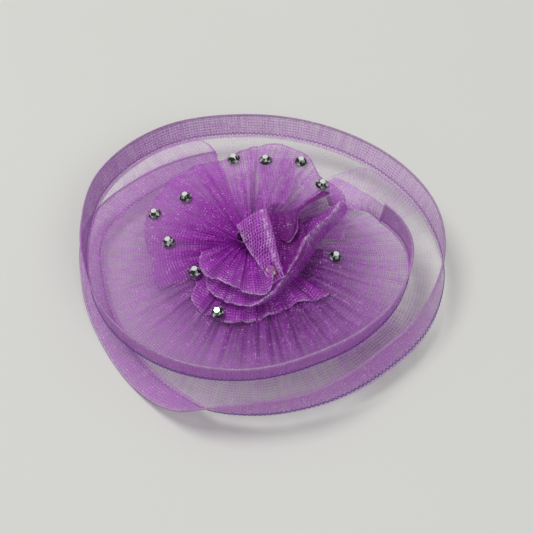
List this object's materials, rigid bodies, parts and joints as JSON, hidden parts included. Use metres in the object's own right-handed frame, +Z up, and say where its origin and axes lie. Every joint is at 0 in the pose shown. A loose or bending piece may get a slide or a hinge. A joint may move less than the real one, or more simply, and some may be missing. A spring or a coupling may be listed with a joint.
{
  "type": "fascinator headpiece",
  "caption": "Round organza fascinator with a hemmed two-turn brim, a gathered frill flower set with rhinestones, and a hair clip and brooch pin on its felt back.",
  "frame": {"origin": "centre of the footprint's bounding box, on the surface that the piece lies on, flower upwards", "axes": "+Z up out of the flower; +Y away from the side that is usually seen; +X to the right; the clip and the brooch pin run along X"},
  "size_m": [0.1204, 0.1186, 0.0317],
  "materials": {
    "brim_organza": "sheer, slightly shiny purple organza, doubled at the hem",
    "flower_organza": "sheer, slightly shiny purple organza in several gathered layers",
    "nylon_line": "clear nylon line, slightly lilac",
    "thread": "polyester sewing thread, dark violet",
    "rhinestone": "foil-backed faceted glass",
    "felt": "pressed craft felt, purple",
    "buckram": "stiffened open-weave buckram",
    "nickel_steel": "nickel-plated steel sheet",
    "spring_wire": "drawn spring steel wire"
  },
  "bodies": {
    "headpiece": {"felt_backing": "felt", "buckram_stiffener": "buckram", "brim_strip_lower_turn": "brim_organza", "brim_strip_upper_turn": "brim_organza", "hem_nylon_line": "nylon_line", "hem_stitching": "thread", "flower_frill_outer": "flower_organza", "flower_frill_middle": "flower_organza", "flower_frill_inner": "flower_organza", "flower_heart_fold": "flower_organza", "flower_bud_cone": "flower_organza", "rhinestone_1": "rhinestone", "rhinestone_2": "rhinestone", "rhinestone_3": "rhinestone", "rhinestone_4": "rhinestone", "rhinestone_5": "rhinestone", "rhinestone_6": "rhinestone", "rhinestone_7": "rhinestone", "rhinestone_8": "rhinestone", "rhinestone_9": "rhinestone", "rhinestone_10": "rhinestone", "rhinestone_11": "rhinestone", "clip_base_jaw": "nickel_steel", "clip_hinge_pin": "nickel_steel", "clip_spring": "spring_wire", "brooch_bar": "nickel_steel", "brooch_rivet": "nickel_steel"},
    "clip_lever": {"clip_lever_jaw": "nickel_steel"},
    "needle": {"brooch_needle": "spring_wire"},
    "lock": {"brooch_lock_sleeve": "nickel_steel"}
  },
  "joints": [
    {"name": "clip_jaw", "type": "hinge", "parent": "headpiece", "child": "clip_lever", "pos_m": [0.00458, -0.00129, 0.0069], "axis": [0, -1, 0], "range_deg": [0, 22], "stiffness_Nm_per_rad": 0.3, "springref_deg": -28.65, "deforming": ["clip_spring"]},
    {"name": "needle_hinge", "type": "hinge", "parent": "headpiece", "child": "needle", "pos_m": [0.01107, -0.01429, 0.0064], "axis": [0, -1, 0], "range_deg": [0, 80]},
    {"name": "lock_turn", "type": "hinge", "parent": "headpiece", "child": "lock", "pos_m": [-0.01282, -0.01429, 0.0064], "axis": [-1, 0, 0], "range_deg": [0, 90]}
  ]
}
